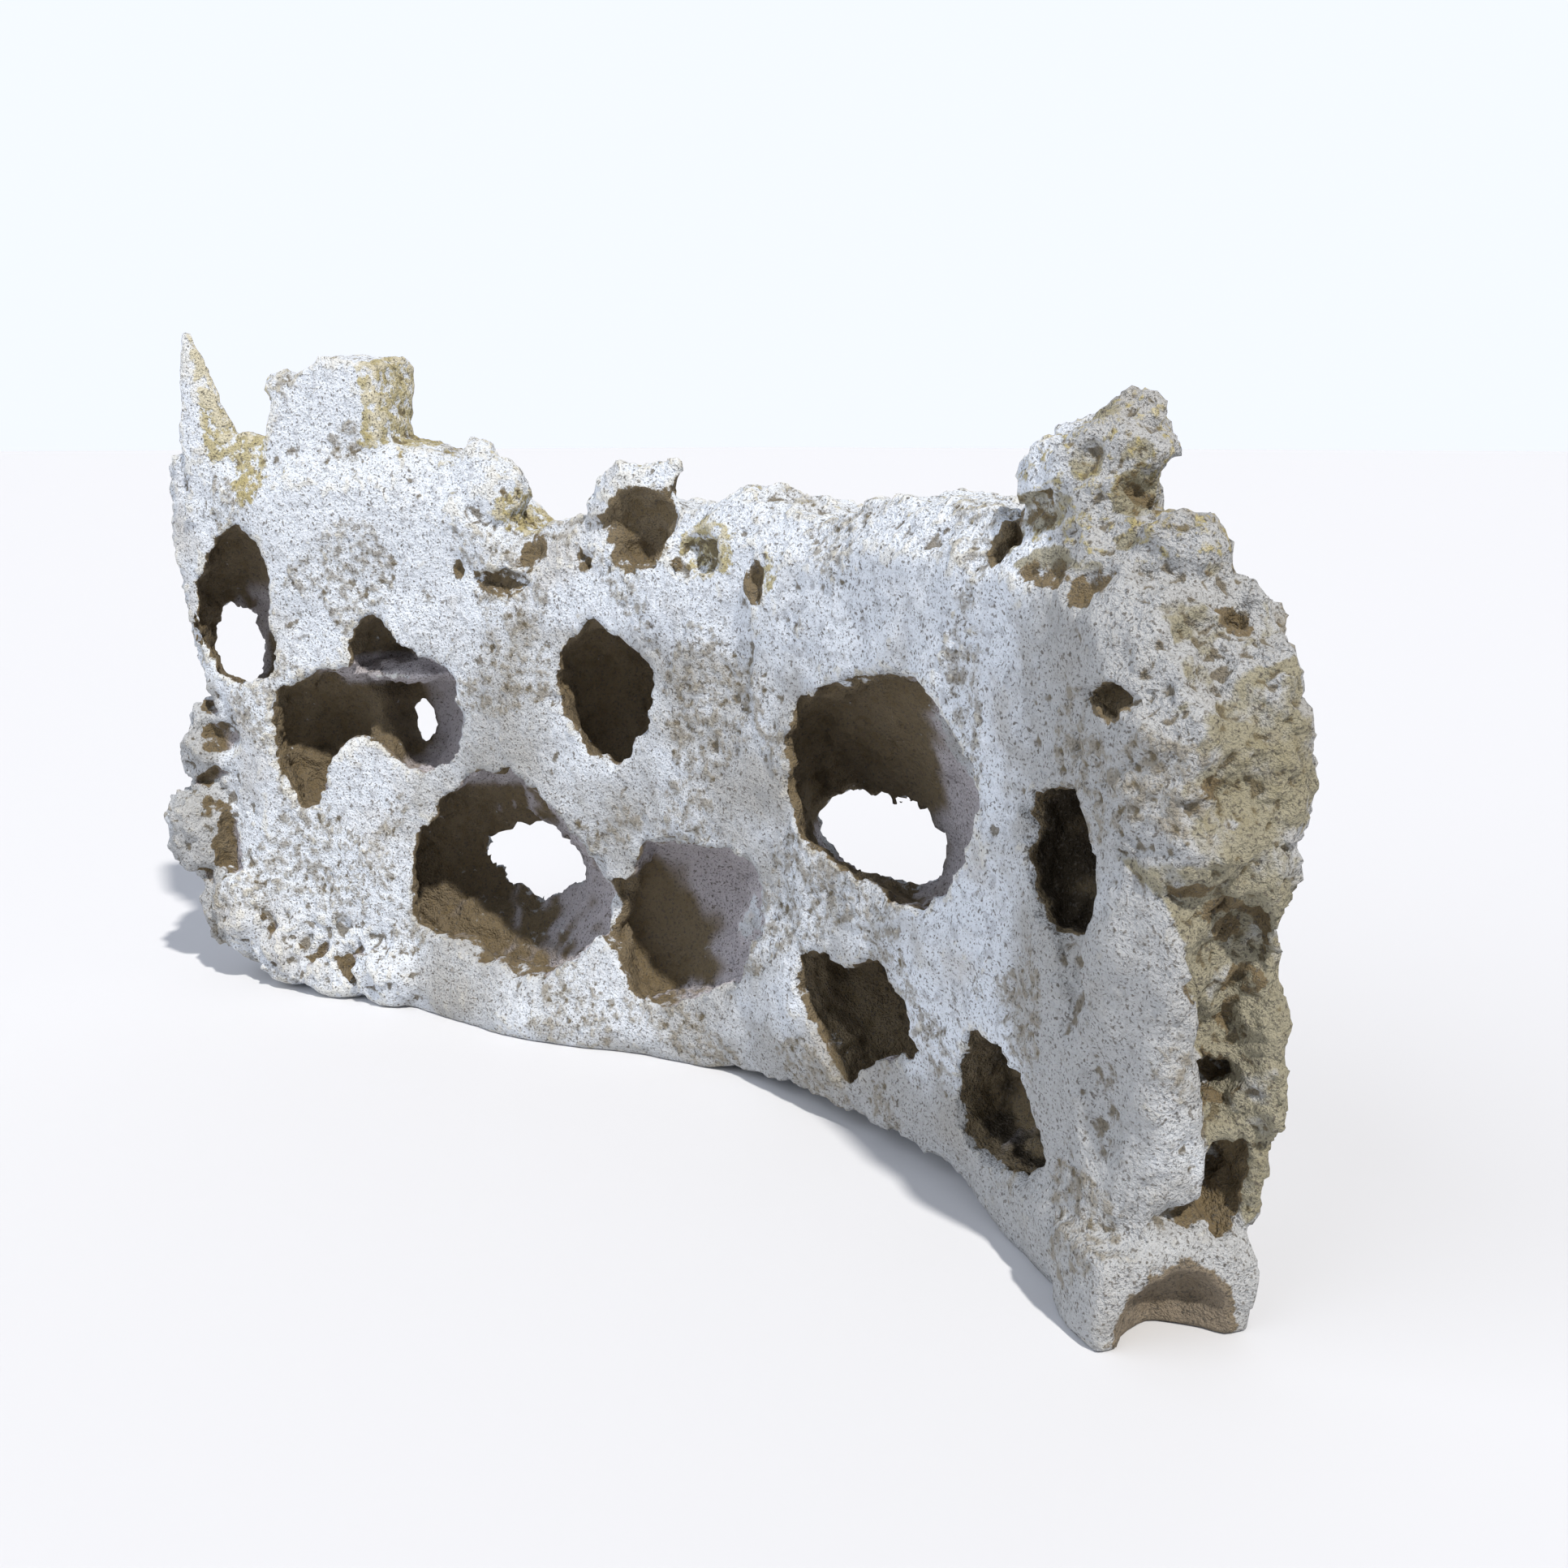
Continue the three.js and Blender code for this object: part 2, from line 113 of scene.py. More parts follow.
bpy.ops.object.select_all(action="DESELECT")
stone = bpy.data.objects.new("holey_limestone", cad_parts["limestone"].data.copy())
stone.data.materials.clear()
bpy.context.scene.collection.objects.link(stone)
only(stone)
bpy.ops.object.mode_set(mode="EDIT")
bpy.ops.mesh.select_all(action="SELECT")
bpy.ops.mesh.remove_doubles(threshold=SAME_PLACE)
bpy.ops.object.mode_set(mode="OBJECT")

# Small bites that water and breaking took out of the skin: sockets and cracks where they are
# easy to see, and many little pits strewn over the front and more thickly over the torn end.
# Each is given as along, depth and height, then half sizes in the same order.
SOCKETS = [
    ((157, 3, 208), (15, 15, 12)),
    ((90, 4, 184), (13, 8, 2.6)),
    ((384, 22, 227), (6.5, 7, 6)),
    ((368, 9, 236), (4, 5, 5)),
    ((363, 18, 249), (6, 5, 3)),
    ((375, 22, 237), (4, 5, 3)),
    ((358, 5, 222), (10, 6, 2)),
    ((338, 11, 213), (2.5, 6, 8)),
    ((357, 1, 206), (4, 4, 1.8)),
    ((366, 4, 206), (3, 4, 2)),
    ((382, 14, 215), (4, 4, 2)),
    ((382, 5, 206), (4, 5, 2)),
    ((381, 2, 199), (3, 4, 2)),
    ((401, 33, 206), (3, 4, 2)),
    ((404, 33, 197), (5, 4, 3)),
    ((397, 6, 175), (9, 7, 2.4)),
    ((419, 8, 161), (3, 6, 1.6)),
    ((424, 19, 157), (4, 5, 2)),
    ((424, 12, 130), (5, 6, 4)),
    ((416, 23, 127), (5, 5, 3)),
    ((412, 27, 118), (5, 4, 3)),
    ((412, 34, 99), (6, 5, 4)),
    ((422, 15, 104), (4, 4, 3)),
    ((406, 38, 73), (6, 5, 5)),
    ((46, 3, 234), (6, 4, 1.6)),
    ((60, 3, 205), (3, 4, 1.8)),
    ((120, 0, 188), (2.4, 4, 1.6)),
    ((42, 2, 176), (1.6, 4, 3)),
    ((104, 1, 146), (2, 3, 1.5)),
    ((236, 1, 178), (2, 3, 2.4)),
    ((209, 1, 165), (5, 3, 1.5)),
    ((349, 1, 151), (2, 3, 1.6)),
    ((70, 6, 189), (1.6, 5, 4)),
    ((77, 3, 186), (2, 4, 3)),
    ((125, 2, 197), (4, 4, 3)),
    ((131, 4, 193), (3, 5, 2)),
    ((159, 0, 189), (3, 3, 1.5)),
    ((36, 1, 180), (2, 3, 1.6)),
]
# Larger hollows that the solid already has, in the same way
CARVED = [
    ((154, 2, 212), (17, 17, 13)),
    ((218, 2, 191), (5, 8, 10)),
    ((103, 3, 197), (8, 9, 8)),
    ((92, 3, 222), (6, 7, 7)),
    ((363, 2, 206), (10, 9, 6)),
    ((378, 4, 202), (9, 9, 7)),
    ((352, 3, 220), (14, 10, 5)),
    ((340, 8, 210), (6, 10, 9)),
]
# How much farther than its bite a socket reaches, and how its edge fades
SOCKET_RIM = 1
SOCKET_FADE = (1.3, 0.8)
# The strewn pits: how many, where they may lie, their half size and how much it varies in each
# direction, how deep they sink for their size, and which share of the tries keeps a pit
STREWN = {
    "count": 230,
    "along": (-36, 412),
    "height": (8, 222),
    "half": (1.1, 2.3),
    "stretch": (0.7, 1.5),
    "sunk": 0.2,
    "kept": 0.42,
}
# Past this place and height every try keeps a pit, and the pits are larger
PITTED_END = {"along": 340, "height": 118, "larger": 1.35}
SEED = 11
# Bites are turned by up to this angle, in radians
TWIST = 0.9
# How far ahead of the face a ray to the skin starts, and how far it may go to find it
RAY_AHEAD = 40
RAY_LENGTH = 56

random = np.random.default_rng(SEED)
tree = BVHTree.FromObject(stone, bpy.context.evaluated_depsgraph_get())


def on_skin(along, height):
    """The depth of the front skin at a place, or None where a hole lies."""
    start = from_slab(along, -RAY_AHEAD, height)
    inward = slab_axes(along)[1]
    hit = tree.ray_cast(start, Vector((inward[0], inward[1], 0)), RAY_LENGTH / 1000)
    return None if hit[0] is None else hit[3] * 1000 - RAY_AHEAD


nearest = np.array([tree.find_nearest(from_slab(*place))[0] for place, _ in SOCKETS])
snapped = np.array(slab_place(nearest)).T
sockets = [(place, half) for place, (_, half) in zip(snapped, SOCKETS)]

bites = list(sockets)
while len(bites) < len(SOCKETS) + STREWN["count"]:
    along = random.uniform(*STREWN["along"])
    height = random.uniform(*STREWN["height"])
    depth = on_skin(along, height)
    pitted = along > PITTED_END["along"] and height > PITTED_END["height"]
    if depth is not None and random.random() < (1 if pitted else STREWN["kept"]):
        size = random.uniform(*STREWN["half"]) * (PITTED_END["larger"] if pitted else 1)
        half = size * random.uniform(*STREWN["stretch"], 3)
        bites.append(((along, depth + STREWN["sunk"] * size, height), half))

bpy.ops.mesh.primitive_ico_sphere_add(subdivisions=1, radius=1)
ball = bpy.context.object
bite_things = []
for (along, depth, height), half in bites:
    bite = bpy.data.objects.new("bite", ball.data.copy())
    bpy.context.scene.collection.objects.link(bite)
    lengthwise = slab_axes(along)[0]
    turn = Matrix.Rotation(math.atan2(lengthwise[1], lengthwise[0]), 4, "Z")
    twist = Matrix.Rotation(random.uniform(-TWIST, TWIST), 4, "Y")
    scale = Matrix.Diagonal((*(Vector([float(h) for h in half]) / 1000), 1))
    place = Matrix.Translation(from_slab(along, depth, height))
    bite.data.transform(place @ turn @ twist @ scale)
    bite_things.append(bite)
bpy.data.objects.remove(ball)
bpy.ops.object.select_all(action="DESELECT")
for bite in bite_things:
    bite.select_set(True)
bpy.context.view_layer.objects.active = bite_things[0]
bpy.ops.object.join()
pits = bpy.context.object
work(stone, "BOOLEAN", operation="DIFFERENCE", object=pits, solver="EXACT", use_self=True)
bpy.data.objects.remove(pits)
work(stone, "REMESH", mode="VOXEL", voxel_size=VOXEL)

# The skin of the limestone: plain faces rounded by water, a torn and pitted thick end, and the
# relief on them, from swells down to grit. Behind this line on the thick end, given as height
# and depth, the stone is torn; ahead of it the front skin ends in a sharp flake.
FLAKE_EDGE = [(0, 28), (45, 28), (70, 25), (90, 21), (110, 12), (125, 6), (137, -2), (150, -6)]
# Every zone is bounded by fades: what is measured, where the zone begins and where it is full.
# In a table of zones, each zone has its share before its fades.
TORN = {
    "broken end": (1, [("along", 396, 406), ("behind flake", 0, 2), ("height", 26, 34)]),
    "tall knob": (0.6, [("along", 332, 344), ("height", 203, 214)]),
    "shoulder": (0.45, [("along", 352, 392), ("height", 128, 172)]),
}
BROKEN_CLEAN = {
    "tall point": (1, [("height", 232, 252), ("along", -12, -22)]),
    "block": (0.6, [("height", 226, 240), ("along", -22, -14), ("along", 60, 48)]),
    "foot": (0.75, [("height", 33, 27), ("along", 380, 392)]),
}
GNARLED = {
    "low lumps": (1, [("along", 50, 34), ("height", 46, 28)]),
    "thin end": (1, [("along", -30, -42), ("height", 140, 120)]),
}
FLAKE = [("along", 390, 400), ("behind flake", 0, -3), ("height", 144, 130), ("height", 29, 34)]
# Where the torn end stands back behind the flake, and by how much
RECESS = [
    ("behind flake", 0, 1.5),
    ("depth", 45, 42),
    ("height", 30, 36),
    ("height", 144, 120),
    ("along", 394, 400),
    ("toward", 0.1, 0.5),
]
RECESS_BACK = 2
# Where the front skin stands back beside a straight step, less and less away from it
STEP = [
    ("along", 217, 215),
    ("along", 182, 208),
    ("height", 140, 146),
    ("height", 208, 200),
    ("depth", 12, 8),
]
STEP_BACK = 2.6
FLAT_FACE = [("squarely", 0.72, 0.93)]
FRONT_FACING = [("into", -0.3, -0.6)]
OFF_GROUND = [("height", 1, 7)]
INSIDE_HOLES = [("depth", 3, 9), ("height", 226, 212)]
# Windows that stay narrow, as along and height, and how far round them the walls close in
NARROWS = [((26, 119), 15), ((-46, 158), 13)]
NARROWS_DEPTH = [("depth", 20, 28)]
# The share of that reach where the walls have closed in fully, and by how much they do
CLOSED_FROM = 0.7
CLOSED_BY = 2.2
# Where the skin is rough and dirty, and where it is smooth, as along, height and half sizes; the
# valley is the smooth one beside the flake
ROUGH_SPOTS = [
    (200, 150, 30, 34),
    (92, 150, 16, 16),
    (115, 165, 22, 34),
    (10, 55, 34, 26),
    (200, 13, 130, 17),
    (50, 200, 32, 17),
    (150, 100, 14, 14),
    (392, 168, 26, 24),
]
VALLEY = (396, 84, 22, 46)
SMOOTH_SPOTS = [(350, 120, 15, 60), (22, 92, 15, 18), VALLEY, (285, 192, 50, 26)]
SPOT_FADE = (1.1, 0.6)
# How wide the rough patches are, how strongly the spots add to them or take away, and the noise
# values where a patch begins and is full
PATCH = {"width": 34, "rough": 0.3, "smooth": 0.4, "fade": (-0.02, 0.26)}
# Kinds of grain: shreds that pull every way, soft waves, lumps, pits with sharp rims, and cells
SHREDS = {"direction": "RGB_TO_XYZ", "cloud_type": "COLOR", "noise_depth": 1}
DEEP_SHREDS = {**SHREDS, "noise_depth": 2}
SOFT = {"noise_depth": 1}
LUMPY = {"noise_depth": 2}
PITTED = {"middle": 0.3, "noise_depth": 2, "noise_type": "HARD_NOISE"}
CELLS = {"middle": 0.42, "kind": "VORONOI"}
# The relief of the larger forms, then the fine one: its name, how wide and how high its grains
# are, where it lies and its kind of grain
FORMS = [
    ("ragged rims", 10, 7, "rims", SHREDS),
    ("swells", 26, 3.6, "skin", SOFT),
    ("dimples", 10, -0.9, "skin", PITTED),
    ("wall knobs", 12, -2.4, "walls", PITTED),
    ("gnarls", 12, 9, "gnarled", DEEP_SHREDS),
    ("gnarl pits", 8, -6.0, "gnarled", PITTED),
    ("torn lumps", 24, 5, "torn", LUMPY),
    ("torn cells", 8, 2.8, "torn", CELLS),
    ("torn pits", 5, -2.4, "torn", PITTED),
]
FINE_RELIEF = [
    ("ragged edges", 3.4, 2.4, "ragged", SHREDS),
    ("crumbs", 4.2, -1.8, "rough", PITTED),
    ("grit", 2.4, 1.3, "rough", SOFT),
]
# Steps in which a vertex group rises from none to full
WEIGHT_STEPS = 20
MOST_TRIANGLES = 198000


def measure(thing):
    """What zones are measured by: where every vertex lies and how it faces. Toward says how far
    it faces the thick end, and into how far it faces the rock behind the front face."""
    places = corners(thing)
    along, depth, height = slab_place(places)
    normal = corners(thing, "normal")
    lengthwise, inward = slab_axes(along)
    into = normal[:, 0] * inward[0] + normal[:, 1] * inward[1]
    edge = np.interp(height, [h for h, _ in FLAKE_EDGE], [d for _, d in FLAKE_EDGE])
    return {
        "places": places,
        "along": along,
        "depth": depth,
        "height": height,
        "toward": normal[:, 0] * lengthwise[0] + normal[:, 1] * lengthwise[1],
        "into": into,
        "squarely": np.abs(into),
        "up": normal[:, 2],
        "behind flake": depth - edge,
    }


def zone(at, fades):
    """How much each place lies in a zone."""
    inside = np.ones(len(at["places"]))
    for measured, start, full in fades:
        inside *= ramp(at[measured], start, full)
    return inside


def most(at, table):
    """How much each place lies in any zone of a table, by their shares."""
    return np.max([share * zone(at, fades) for share, fades in table.values()], axis=0)


def spots_part(at, spots):
    """How much each place lies in one of some oval spots."""
    inside = np.zeros(len(at["places"]))
    for spot_along, spot_height, half_along, half_height in spots:
        along = (at["along"] - spot_along) / half_along
        height = (at["height"] - spot_height) / half_height
        inside = np.maximum(inside, ramp(np.hypot(along, height), *SPOT_FADE))
    return inside


def socket_part(at):
    """How much each place lies in one of the sockets and cracks."""
    within = np.zeros(len(at["places"]))
    for (socket_along, socket_depth, socket_height), half in sockets + CARVED:
        gap = ((at["along"] - socket_along) / (half[0] + SOCKET_RIM)) ** 2
        gap += ((at["depth"] - socket_depth) / (half[1] + SOCKET_RIM)) ** 2
        gap += ((at["height"] - socket_height) / (half[2] + SOCKET_RIM)) ** 2
        within = np.maximum(within, ramp(gap, *SOCKET_FADE))
    return within


def rough_part(at):
    """How much each place lies in a rough, dirty patch of the skin, and not in a smooth one."""
    width = PATCH["width"]
    waves = np.array([noise.noise(Vector(place) * 1000 / width) for place in at["places"]])
    waves += PATCH["rough"] * spots_part(at, ROUGH_SPOTS)
    waves -= PATCH["smooth"] * spots_part(at, SMOOTH_SPOTS)
    return ramp(waves, *PATCH["fade"])


def group(thing, name, weights):
    """A vertex group that says how strongly each place takes a change."""
    made = thing.vertex_groups.new(name=name)
    steps = np.round(np.clip(weights, 0, 1) * WEIGHT_STEPS).astype(int)
    for step in range(1, WEIGHT_STEPS + 1):
        members = np.nonzero(steps == step)[0].tolist()
        if members:
            made.add(members, step / WEIGHT_STEPS, "REPLACE")


def roughen(
    thing, name, width, tall, where, middle=0.5, direction="NORMAL", kind="CLOUDS", **settings
):
    """Moves the surface by a noise whose grains are so wide and so high, in millimetres."""
    grain = bpy.data.textures.new(name, kind)
    grain.noise_scale = width / 1000
    for key, value in settings.items():
        setattr(grain, key, value)
    work(
        thing,
        "DISPLACE",
        texture=grain,
        texture_coords="LOCAL",
        direction=direction,
        mid_level=middle,
        strength=tall / 1000,
        vertex_group=where,
    )


at = measure(stone)
off_ground = zone(at, OFF_GROUND)
torn = most(at, TORN)
sharp = most(at, BROKEN_CLEAN)
plain = np.maximum(zone(at, FLAT_FACE) * (1 - 0.4 * torn), zone(at, FLAKE))
crisp = np.maximum(socket_part(at), 0.6 * torn)
narrow = np.zeros(len(at["places"]))
for (window_along, window_height), reach in NARROWS:
    gap = np.hypot(at["along"] - window_along, at["height"] - window_height)
    narrow = np.maximum(narrow, ramp(gap, reach, CLOSED_FROM * reach))
group(stone, "plain", plain * (1 - sharp))
group(stone, "bulk", (1 - 0.8 * sharp) * (1 - 0.85 * crisp))
group(stone, "recess", zone(at, RECESS))
group(stone, "narrow", narrow * zone(at, NARROWS_DEPTH))
group(stone, "step", zone(at, STEP) * plain)
group(stone, "even", zone(at, FRONT_FACING) * spots_part(at, [VALLEY]))
group(stone, "rims", off_ground * (1 - plain) * (1 - 0.8 * sharp))
group(stone, "skin", off_ground * (1 - 0.8 * sharp))
group(stone, "walls", off_ground * (1 - plain) * zone(at, INSIDE_HOLES) * (1 - torn))
group(stone, "torn", off_ground * torn)
group(stone, "gnarled", off_ground * most(at, GNARLED))

work(stone, "SMOOTH", factor=0.5, iterations=70, vertex_group="even")
work(stone, "SMOOTH", factor=0.5, iterations=30, vertex_group="plain")
work(stone, "SMOOTH", factor=0.5, iterations=2, vertex_group="bulk")
work(stone, "DISPLACE", strength=-STEP_BACK / 1000, mid_level=0, vertex_group="step")
work(stone, "DISPLACE", strength=-RECESS_BACK / 1000, mid_level=0, vertex_group="recess")
work(stone, "DISPLACE", strength=CLOSED_BY / 1000, mid_level=0, vertex_group="narrow")
for name, width, tall, where, kind in FORMS:
    roughen(stone, name, width, tall, where, **kind)
work(stone, "REMESH", mode="VOXEL", voxel_size=VOXEL)

at = measure(stone)
grit = zone(at, OFF_GROUND) * (1 - 0.5 * most(at, BROKEN_CLEAN))
rough = np.maximum(rough_part(at), most(at, TORN))
group(stone, "rough", grit * (0.2 + 0.8 * rough))
group(stone, "ragged", grit * (1 - 0.8 * zone(at, FLAT_FACE)))
for name, width, tall, where, kind in FINE_RELIEF:
    roughen(stone, name, width, tall, where, **kind)

faces = len(stone.data.polygons) * 2
if faces > MOST_TRIANGLES:
    work(stone, "DECIMATE", ratio=MOST_TRIANGLES / faces)
only(stone)
bpy.ops.object.shade_smooth()

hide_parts("limestone")
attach(stone, "root")

# How it is coloured: cavities that see little sky are brown, partly dirt and partly painted shade;
# walls that turn from the thick end are pale purple grey instead, painted light; the open face is
# bleached; broken places are tan.
SKY_RAYS = 16
# How far each ray to the sky goes and how far off the surface it starts, in metres, and how far
# the rays lean toward the horizon
SKY_REACH = 0.12
SKY_START = 0.0012
SKY_LEAN = 0.86
# Rounds that even out the open sky, the facing, and the surface that dents are measured from
SKY_ROUNDS = 5
FACING_ROUNDS = 3
DENT_ROUNDS = 6
# The edges of some colours wander by up to this much, in so many waves a metre
WANDER = 8
WANDER_WAVES = 90
# How little open sky makes a cavity brown, partly dirt and partly painted shade: on most of the
# stone, and past a place along it
SHADED = [("sky", 0.7, 0.6)]
SHADED_THICK = [("sky", 0.6, 0.54)]
THICK_FROM = 325
SHADED_SOCKET = [("sky", 0.97, 0.85)]
# Floors that face up and see some sky lose part of that brown: painted light
LIT_FLOOR = [("up", 0.35, 0.8), ("sky", 0.25, 0.45), ("along", 330, 320)]
# The scoop in the end of the foot, painted brown as its shade: its middle and half size in depth,
# then in height
SCOOP_OVAL = ((19, 19), (3, 23))
SCOOP = [("scoop", 1.05, 0.85), ("along", 398, 404), ("height", 34, 30)]
KNOB = [("along", 338, 346), ("height", 200, 208)]
# Where the narrow holes are painted near black: painted shade
NARROW_HOLE = [
    ("along", 322, 334),
    ("sky", 0.45, 0.3),
    ("depth", 2, 5),
    ("height", 150, 140),
    ("along", 400, 392),
]
# A sill crosses that hole, and falls by so much for each millimetre along from this place
SILL_FALL = 0.9
SILL_FROM = 354
SILL = [("sill", 118, 112), ("height", 92, 98), ("along", 385, 375)]
# On its near side the sill is pale purple grey: painted light
SILL_SIDE = [("along", 345, 355)]
# Walls that turn from the thick end are pale purple grey instead of brown: painted light
TURNED_AWAY = [
    ("toward", 0.0, -0.35),
    ("sky", 0.15, 0.3),
    ("height", 180, 170),
    ("along", 345, 340),
]
# A ledge painted pale purple grey as lit: painted light
LEDGE = [
    ("height", 134, 137),
    ("height", 150, 147),
    ("along", 4, 10),
    ("along", 68, 62),
    ("depth", 1, 3),
]
# Where a hole is pale purple grey, painted light, beyond a painted shadow edge: its middle and half
# sizes in along and height, then how depth and height add to along, and the sum from which it is
# pale purple grey
LIT_WALL_SIDES = [
    ((186, 60), (40, 34), (0, 0.55), 193),
    ((290, 130), (56, 44), (0.7, 0), 298),
    ((26, 125), (58, 30), (0, 0), 34),
]
LIT_WALL_DEPTH = [("depth", 2, 5)]
# Half the widths of the fades round such a hole and between its two colours
CAVE_FADE = 2
LIT_WALL_FADE = 4
TAN_END = [("toward", 0.4, 0.75), ("wandering depth", 8, 13), ("height", 206, 198)]
TAN_BEHIND_FLAKE = [
    ("along", 398, 406),
    ("behind flake", 0, 2),
    ("height", 30, 36),
    ("wandering height", 144, 134),
]
# Ochre patches, as along, height and half sizes
OCHRE_SPOTS = [(97, 212, 14, 13), (191, 201, 20, 15), (226, 195, 7, 10), (-17, 224, 9, 16)]
# The ridge of the tall point, as height and along; past it the point is ochre
RIDGE = [(226, -34), (262, -38.5), (284, -41)]
# Ochre on up-facing top edges, the far flank of the tall point, the block and the knob top
OCHRE_TOPS = {
    "top edge": (0.6, [("height", 196, 222), ("up", -0.1, 0.7)]),
    "tall point": (1, [("past ridge", -1, 2), ("along", -6, -12), ("height", 222, 232)]),
    "block": (1, [("wandering along", 27, 30), ("along", 60, 48), ("height", 230, 240)]),
    "tall knob": (0.68, [("along", 336, 346), ("height", 200, 212)]),
}
# Greyer and darker low down, toward the thick end, in the middle and at the thin end: partly dust,
# partly painted shade
DUST_AND_SHADE = {
    "thick end": (1, [("along", 330, 385)]),
    "foot of the front": (0.8, [("height", 60, 20), ("along", 120, 180)]),
    "middle": (0.62, [("height", 190, 150), ("along", 10, 70), ("along", 325, 290)]),
    "thin end": (0.8, [("along", -34, -42), ("height", 150, 130)]),
}
# How far a place lies under the surface around it, or over it, in millimetres: pits are darkened
# by dirt and painted shade, crests lightened by a painted highlight
PIT_DIRT_AND_SHADE = [("dent", 0.16, 0.75), ("height", 1, 5)]
CREST_HIGHLIGHT = [("dent", -0.1, -0.6)]


def open_sky(thing):
    """For every vertex, the share of the half space over it that no part of the stone blocks."""
    tree = BVHTree.FromObject(thing, bpy.context.evaluated_depsgraph_get())
    golden = math.pi * (3 - math.sqrt(5))
    rays = []
    for i in range(SKY_RAYS):
        lift = 1 - (i + 0.5) / SKY_RAYS * SKY_LEAN
        flat = math.sqrt(1 - lift * lift)
        rays.append((flat * math.cos(golden * i), flat * math.sin(golden * i), lift))
    seen = np.zeros(len(thing.data.vertices))
    for i, vertex in enumerate(thing.data.vertices):
        up = vertex.normal
        turn = up.to_track_quat("Z", "Y")
        start = vertex.co + up * SKY_START
        total = 0.0
        for ray in rays:
            if tree.ray_cast(start, turn @ Vector(ray), SKY_REACH)[0] is None:
                total += ray[2]
        seen[i] = total
    return seen / sum(ray[2] for ray in rays)


def spread(thing, values, rounds):
    """Evens values out over the surface, each round with the next vertices."""
    ends = np.empty(len(thing.data.edges) * 2, dtype=np.int32)
    thing.data.edges.foreach_get("vertices", ends)
    one, other = ends.reshape(-1, 2).T
    count = np.bincount(ends, minlength=len(values))
    for _ in range(rounds):
        total = np.bincount(one, values[other], len(values))
        total += np.bincount(other, values[one], len(values))
        values = 0.5 * values + 0.5 * total / np.maximum(count, 1)
    return values


at = measure(stone)
stone.vertex_groups.clear()
waves = [noise.noise(Vector(place) * WANDER_WAVES) for place in at["places"]]
wander = np.array(waves) * WANDER
ridge = np.interp(at["height"], [h for h, _ in RIDGE], [a for _, a in RIDGE])
(scoop_depth, half_depth), (scoop_height, half_height) = SCOOP_OVAL
smoothed = np.array([spread(stone, column, DENT_ROUNDS) for column in at["places"].T]).T
at["sky"] = spread(stone, open_sky(stone), SKY_ROUNDS)
at["toward"] = spread(stone, at["toward"], FACING_ROUNDS)
at["dent"] = ((smoothed - at["places"]) * corners(stone, "normal")).sum(1) * 1000
at["scoop"] = np.hypot(
    (at["depth"] - scoop_depth) / half_depth, (at["height"] - scoop_height) / half_height
)
at["sill"] = at["height"] + SILL_FALL * (at["along"] - SILL_FROM) + wander
at["past ridge"] = at["along"] - ridge
at["wandering along"] = at["along"] + 0.3 * wander
at["wandering depth"] = at["depth"] + wander
at["wandering height"] = at["height"] + wander

within = socket_part(at)
knob = zone(at, KNOB)
scoop = zone(at, SCOOP)
sill = zone(at, SILL)
ochre = spots_part(at, OCHRE_SPOTS)

# Brown in cavities and sockets, by how little sky they see: partly dirt, partly painted shade
hollow = np.where(at["along"] > THICK_FROM, zone(at, SHADED_THICK), zone(at, SHADED))
hollow *= 1 - 0.7 * ochre
socket_dirt_and_shade = within * zone(at, SHADED_SOCKET) * (0.95 - 0.55 * knob) * (1 - 0.6 * ochre)
hollow = np.maximum(hollow, socket_dirt_and_shade)
hollow *= 1 - 0.8 * spots_part(at, [VALLEY]) * zone(at, FRONT_FACING)
# The scoop in the foot is painted brown: painted shade
hollow = np.maximum(hollow, scoop)
hollow *= 1 - 0.3 * zone(at, LIT_FLOOR)

# Painted light: pale purple grey instead of brown on lit walls, a ledge, the sill and a little in
# the scoop
lit_walls = zone(at, TURNED_AWAY)
for centre, half, lean, start in LIT_WALL_SIDES:
    cave = zone(at, LIT_WALL_DEPTH)
    for gap, reach in zip((at["along"] - centre[0], at["height"] - centre[1]), half):
        cave *= ramp(np.abs(gap), reach + CAVE_FADE, reach - CAVE_FADE)
    beyond = at["along"] + lean[0] * at["depth"] + lean[1] * at["height"] + wander
    lit_walls = lit_walls * (1 - cave) + cave * ramp(beyond - start, -LIT_WALL_FADE, LIT_WALL_FADE)
lit_walls = np.maximum(lit_walls, zone(at, LEDGE))
lit_walls = np.maximum(lit_walls, 0.12 * scoop)
lit_walls = np.maximum(lit_walls, sill * zone(at, SILL_SIDE))

tan = most(at, TORN) * zone(at, TAN_END)
tan = np.maximum(tan, zone(at, TAN_BEHIND_FLAKE))
tan = np.maximum(tan, within * knob)
dust_and_shade = most(at, DUST_AND_SHADE)

colour_masks = {
    "hollow": hollow,
    "lit_walls": lit_walls,
    "tan": tan,
    "ochre_tops": np.maximum(most(at, OCHRE_TOPS), 0.95 * ochre),
    "rough": rough_part(at),
    "dust_and_shade": dust_and_shade,
    "pit": zone(at, PIT_DIRT_AND_SHADE),
    "crest_highlight": zone(at, CREST_HIGHLIGHT) * (1 - 0.6 * dust_and_shade) * (1 - 0.4 * tan),
    "deep": zone(at, NARROW_HOLE) * (1 - sill),
}
for name, values in colour_masks.items():
    layer = stone.data.attributes.new(name, "FLOAT", "POINT")
    layer.data.foreach_set("value", values.astype(np.float32))

# The stone's surface: weathered limestone, matt and chalky. Open pores about a millimetre
# across speckle it dark, and it is mottled from white to grey-brown and ochre.


